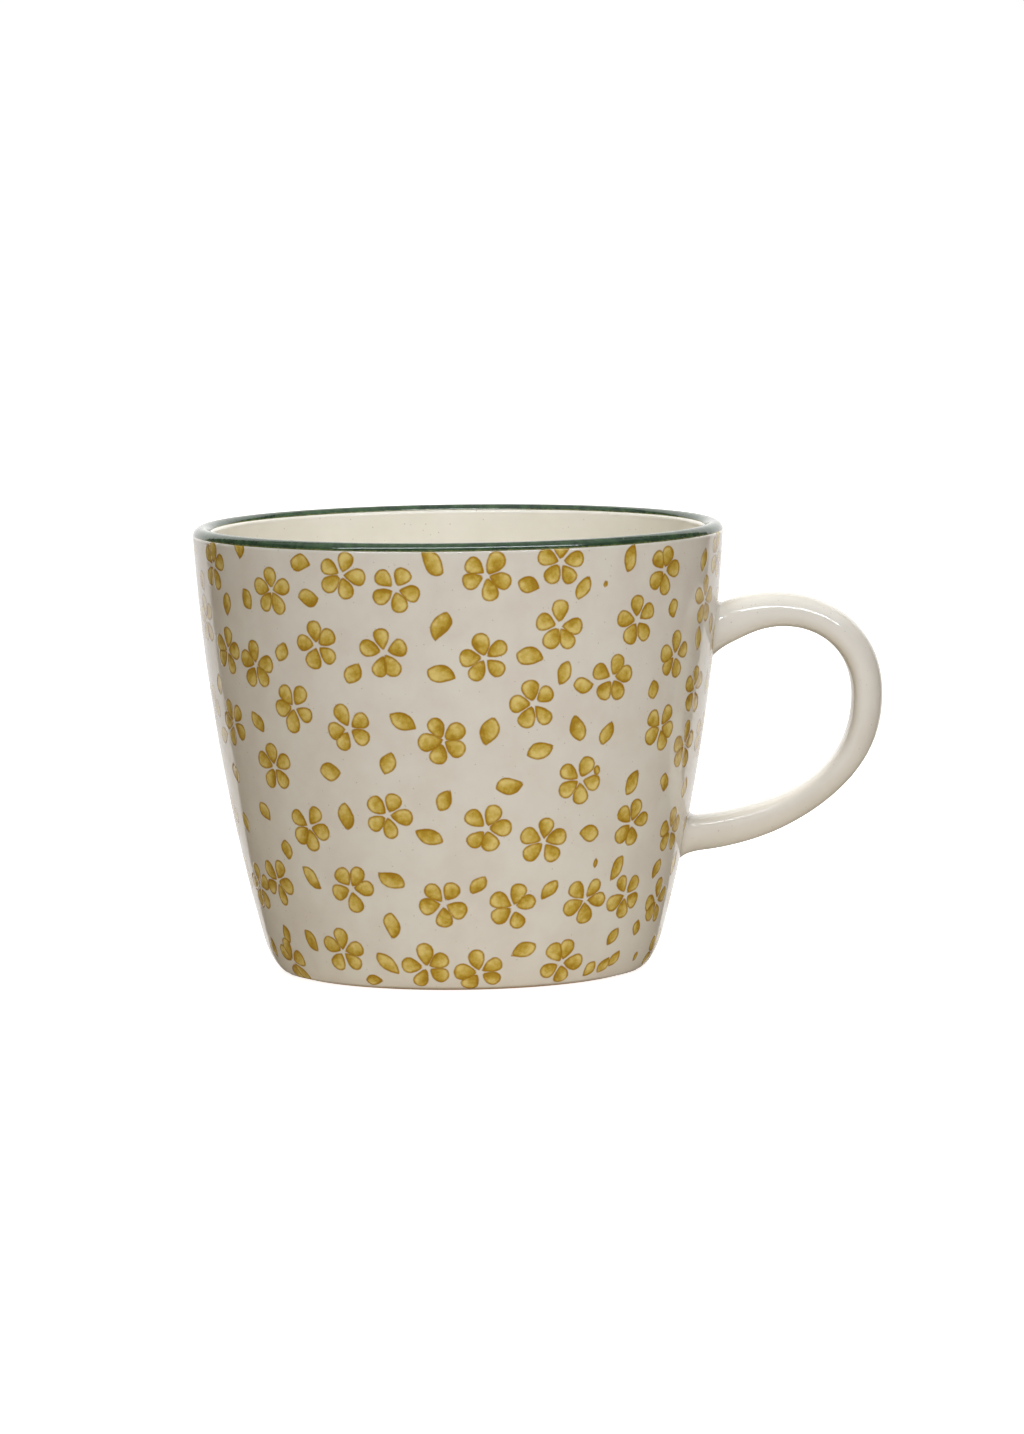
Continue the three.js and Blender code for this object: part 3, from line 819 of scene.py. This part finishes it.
handle = {
    "standOut": 30.5, "middleHeight": 52.2, "upperHeight": 65.3, "upperRise": 24,
    "lowerHeight": 25.3, "lowerRise": 6, "arms": (12.4, 14.5, 18.4, 12.6), "jointLength": 3.5,
    "width": 11.0,
    # the strap's thickness from its upper to its lower end, as the fingers pressed it
    "thickness": (7.9, 6.8, 6.3, 6.2, 6.2, 6.1, 6.0, 5.6, 5.2, 5.5, 6.3, 6.7, 6.9),
    "roundness": 2.05,
    "widestInside": 0.28,  # how far the widest place lies from the middle to the inner side
    "flare": 1.7,  # how far each fillet spreads over the wall
    "embedded": 0.06, "plugDepth": 1.0, "rows": 150, "jointRows": 14, "around": 72,
    "smoothing": 25, "meetRounds": 12,
}


# The strap is an oval carried along a curve: at each place of the curve the oval's thickness lies
# in the handle's plane and its width across it. Each end opens in a fillet, a quadratic curve which
# leaves the strap along its run and meets the wall along the wall.
def makeHandle(material):
    h = handle
    reach = cup["rimRadius"] + h["standOut"] - h["thickness"][4] / 2
    up, low = math.radians(h["upperRise"]), math.radians(h["lowerRise"])
    upper = np.array([wallRadius(h["upperHeight"]), h["upperHeight"]])
    lower = np.array([wallRadius(h["lowerHeight"]), h["lowerHeight"]])
    upRun, lowRun = np.array([math.cos(up), math.sin(up)]), np.array([math.cos(low), math.sin(low)])
    far = np.array([reach, h["middleHeight"]])
    first = upper + h["jointLength"] * upRun
    last = lower + h["jointLength"] * lowRun
    arms = h["arms"]
    run = np.concatenate([
        bezier([first, first + arms[0] * upRun, far + [0, arms[1]], far], fine),
        bezier([far, far - [0, arms[2]], last + arms[3] * lowRun, last], fine)[1:]])
    run = evenly(run, h["rows"])
    ahead = np.gradient(run, axis=0)
    ahead[0], ahead[-1] = upRun, -lowRun
    ahead /= np.linalg.norm(ahead, axis=1, keepdims=True)
    outwards = np.stack([-ahead[:, 1], ahead[:, 0]], axis=1)
    place = np.linspace(0, 1, len(run))
    thick = np.interp(place, np.linspace(0, 1, len(h["thickness"])), h["thickness"])
    window = np.hanning(h["smoothing"])
    thick = np.convolve(np.pad(thick, len(window) // 2, mode="edge"), window / window.sum(), mode="valid")
    angle = np.arange(h["around"]) * 2 * math.pi / h["around"]
    power = 2 / h["roundness"]
    ovalOut = np.sign(np.cos(angle)) * abs(np.cos(angle)) ** power
    ovalOut = ovalOut - h["widestInside"] * (1 - ovalOut**2)
    ovalAcross = np.sign(np.sin(angle)) * abs(np.sin(angle)) ** power
    rings = np.zeros((len(run), h["around"], 3))
    rings[..., 0] = run[:, :1] + outwards[:, :1] * thick[:, None] / 2 * ovalOut
    rings[..., 2] = run[:, 1:] + outwards[:, 1:] * thick[:, None] / 2 * ovalOut
    rings[..., 1] = h["width"] / 2 * ovalAcross

    def onWall(points, depth):
        radius = wallRadius(points[..., 2]) - depth
        return np.stack([np.sqrt(radius**2 - points[..., 1] ** 2), points[..., 1], points[..., 2]], axis=-1)

    def fillet(ring, middle, heading):
        # where each line of the strap would meet the wall, then a step out along the wall
        along = np.array([heading[0], 0, heading[1]])
        meet = ring.copy()
        for _ in range(h["meetRounds"]):
            meet = meet + along * ((onWall(meet, 0)[..., 0] - meet[..., 0]) / heading[0])[..., None]
        spread = meet - [0, 0, middle[1]]
        spread[..., 0] = 0
        spread /= np.linalg.norm(spread, axis=-1, keepdims=True)
        foot = onWall(meet + h["flare"] * spread, h["embedded"])
        t = np.linspace(0, 1, h["jointRows"] + 1)[:, None, None]
        return (1 - t) ** 2 * ring + 2 * t * (1 - t) * meet + t**2 * foot

    upperJoint = fillet(rings[0], upper, -upRun)[1:]
    lowerJoint = fillet(rings[-1], lower, -lowRun)[1:]
    rings = np.concatenate([upperJoint[::-1], rings, lowerJoint])
    ends = [ring.mean(axis=0) - [h["plugDepth"], 0, 0] for ring in (rings[0], rings[-1])]
    points = np.concatenate([rings.reshape(-1, 3), ends])
    faces = gridFaces(len(rings), h["around"], False).tolist()
    faces += endFans(len(rings), h["around"])
    piece = makePiece("handleStrap", points, faces)
    settle(piece, material, "handle_glaze", "handle", "upper_handle_joint", "lower_handle_joint")


print("making the cup")
makeDecoratedWall(makeStampedGlaze())
makeGreenBand(makeGreenGlaze())
# The liner's glaze, whiter as painted light inside the cup; the foot's patch shares it.
paintedLightLinerGlaze = makePlainGlaze("creamLinerGlazePaintedLight", "liner")
makeLiner(paintedLightLinerGlaze)
makeClayCup(makeBareClay())
makeFootGlaze(paintedLightLinerGlaze)
makeHandle(makePlainGlaze("creamHandleGlaze", "handle"))


studio = {
    "air": "#ffe9cf", "worldStrength": 0.1, "paper": "#d9d8d6", "paperGrain": 900.0, "paperRough": 0.85,
    "floorSize": 6.0, "floorGlow": 0.85, "backdropAway": 2.2, "backdropBend": 0.5, "backdropTop": 4.0,
    "bendPoints": 13,
    # the reflector behind the cup, which the glaze mirrors at its edges only
    "cardAway": 2.0, "cardHalfWidth": 1.6, "cardBottom": -0.5, "cardTop": 2.2, "cardGlow": 1.0,
    "bounceColour": "#fff2df", "bounceHalfWidth": 0.6, "bounceLevel": -0.002, "bounceGlow": 0.5,
    # name: degrees round to the right of the front, degrees up, metres away, width and height,
    # watts, colour, and whether the glaze scatters or mirrors it
    "lights": {
        "keySoftbox": (9, 18, 1.6, (1.3, 1.3), 18.0, "#f6f8ff", "scattered"),
        "topSoftbox": (0, 80, 1.6, (0.5, 0.5), 8.5, "#f1f6ff", "scattered"),
        "backSoftbox": (180, 60, 1.6, (0.9, 0.9), 25.0, "#fffdf8", "scattered"),
        "stripMirrored": (0, 64, 1.6, (2.8, 0.14), 26.0, "#f4f8ff", "mirrored"),
        "ceilingMirrored": (180, 83, 1.6, (3.0, 1.6), 7.0, "#f4f8ff", "mirrored"),
    },
}


# A staged sheet of paper: its outline runs along points in the y-z plane, and it is 2 half wide. It
# can be hidden from some kinds of ray.
def addPaper(name, side, half, glow, hiddenFrom, tint="#ffffff"):
    points = np.array([[x, y, z] for y, z in side for x in (-half, half)])
    faces = [[2 * k, 2 * k + 1, 2 * k + 3, 2 * k + 2] for k in range(len(side) - 1)]
    paper = makeObject(name, points, faces)
    material, tree = newMaterial(name + "Matt")
    place = addNode(tree, "TexCoord").outputs["Object"]
    noise = addNode(tree, "TexNoise", {"Vector": place, "Scale": studio["paperGrain"]})
    rough = addNode(tree, "MapRange", {"Value": noise, "To Min": studio["paperRough"], "To Max": 1.0})
    shader = addNode(tree, "BsdfPrincipled", {
        "Base Color": studio["paper"], "Roughness": rough, "Specular IOR Level": 0.0,
        "Emission Color": tint, "Emission Strength": glow})
    addNode(tree, "OutputMaterial", {"Surface": shader})
    paper.data.materials.append(material)
    for ray in hiddenFrom:
        setattr(paper, "visible_" + ray, False)


# The floor bends up behind the cup into a wall. It is lit to plain white, so brightly that it would
# swamp the cup: a dimmer sheet below gives the bounced light, and a card behind is what the glaze
# mirrors at its edges.
def addFloor():
    turn = np.linspace(0, math.pi / 2, studio["bendPoints"])
    away, bend = studio["backdropAway"], studio["backdropBend"]
    curve = np.stack([away + bend * np.sin(turn), bend - bend * np.cos(turn)], axis=1)
    side = np.concatenate([[[-studio["floorSize"], 0]], curve, [[away + bend, studio["backdropTop"]]]])
    addPaper("paleFloor", side, studio["floorSize"], studio["floorGlow"], ("diffuse", "glossy"))
    side = [[studio["cardAway"], studio["cardBottom"]], [studio["cardAway"], studio["cardTop"]]]
    addPaper("whiteCard", side, studio["cardHalfWidth"], studio["cardGlow"],
             ("camera", "diffuse", "shadow"))
    half, level = studio["bounceHalfWidth"], studio["bounceLevel"]
    addPaper("bounceSheet", [[-half, level], [half, level]], half, studio["bounceGlow"],
             ("camera", "glossy", "shadow"), studio["bounceColour"])


# A dim even room, and the lights on a sphere round the cup's middle, each facing it.
def addLights():
    world = bpy.data.worlds.new("studioWhite")
    bpy.context.scene.world = world
    world.use_nodes = True
    background = world.node_tree.nodes["Background"]
    background.inputs["Color"].default_value = linearColour(studio["air"])
    background.inputs["Strength"].default_value = studio["worldStrength"]
    middle = Vector((cup["axisX"] * mm, 0, cup["height"] * mm / 2))
    for name, (around, up, away, size, power, tint, role) in studio["lights"].items():
        lamp = bpy.data.lights.new(name, "AREA")
        lamp.shape = "RECTANGLE"
        lamp.size, lamp.size_y = size
        lamp.energy = power
        lamp.color = linearColour(tint)[:3]
        turn, rise = math.radians(around), math.radians(up)
        towards = Vector((math.sin(turn) * math.cos(rise), -math.cos(turn) * math.cos(rise),
                             math.sin(rise)))
        lampObject = bpy.data.objects.new(name, lamp)
        lampObject.location = middle + away * towards
        lampObject.rotation_euler = (-towards).to_track_quat("-Z", "Y").to_euler()
        lampObject.visible_glossy = role == "mirrored"
        lampObject.visible_diffuse = role == "scattered"
        bpy.context.scene.collection.objects.link(lampObject)


# Metres and degrees, and the lens in millimetres.
camera = {"distance": 1.500, "elevation": 5.97, "roll": 0.72, "lens": 195.5,
          "heightSeen": 0.043, "aim": (-0.0053, 0.0, 0.0484)}


# The camera stands in front of the cup's axis, raised round the height it looks at, and rolled.
def addCamera():
    rise = math.radians(camera["elevation"])
    data = bpy.data.cameras.new("camera")
    data.lens = camera["lens"]
    data.sensor_width = 36
    data.clip_start = 0.05
    data.clip_end = 50
    view = bpy.data.objects.new("camera", data)
    view.location = (cup["axisX"] * mm, -camera["distance"] * math.cos(rise),
                     camera["heightSeen"] + camera["distance"] * math.sin(rise))
    towards = Vector(camera["aim"]) - view.location
    turn = towards.to_track_quat("-Z", "Y").to_matrix().to_4x4()
    roll = Matrix.Rotation(-math.radians(camera["roll"]), 4, "Z")
    view.rotation_euler = (turn @ roll).to_euler()
    bpy.context.scene.collection.objects.link(view)
    bpy.context.scene.camera = view


print("lighting the studio")
addFloor()
addLights()
addCamera()
bpy.context.scene.view_settings.view_transform = "Standard"
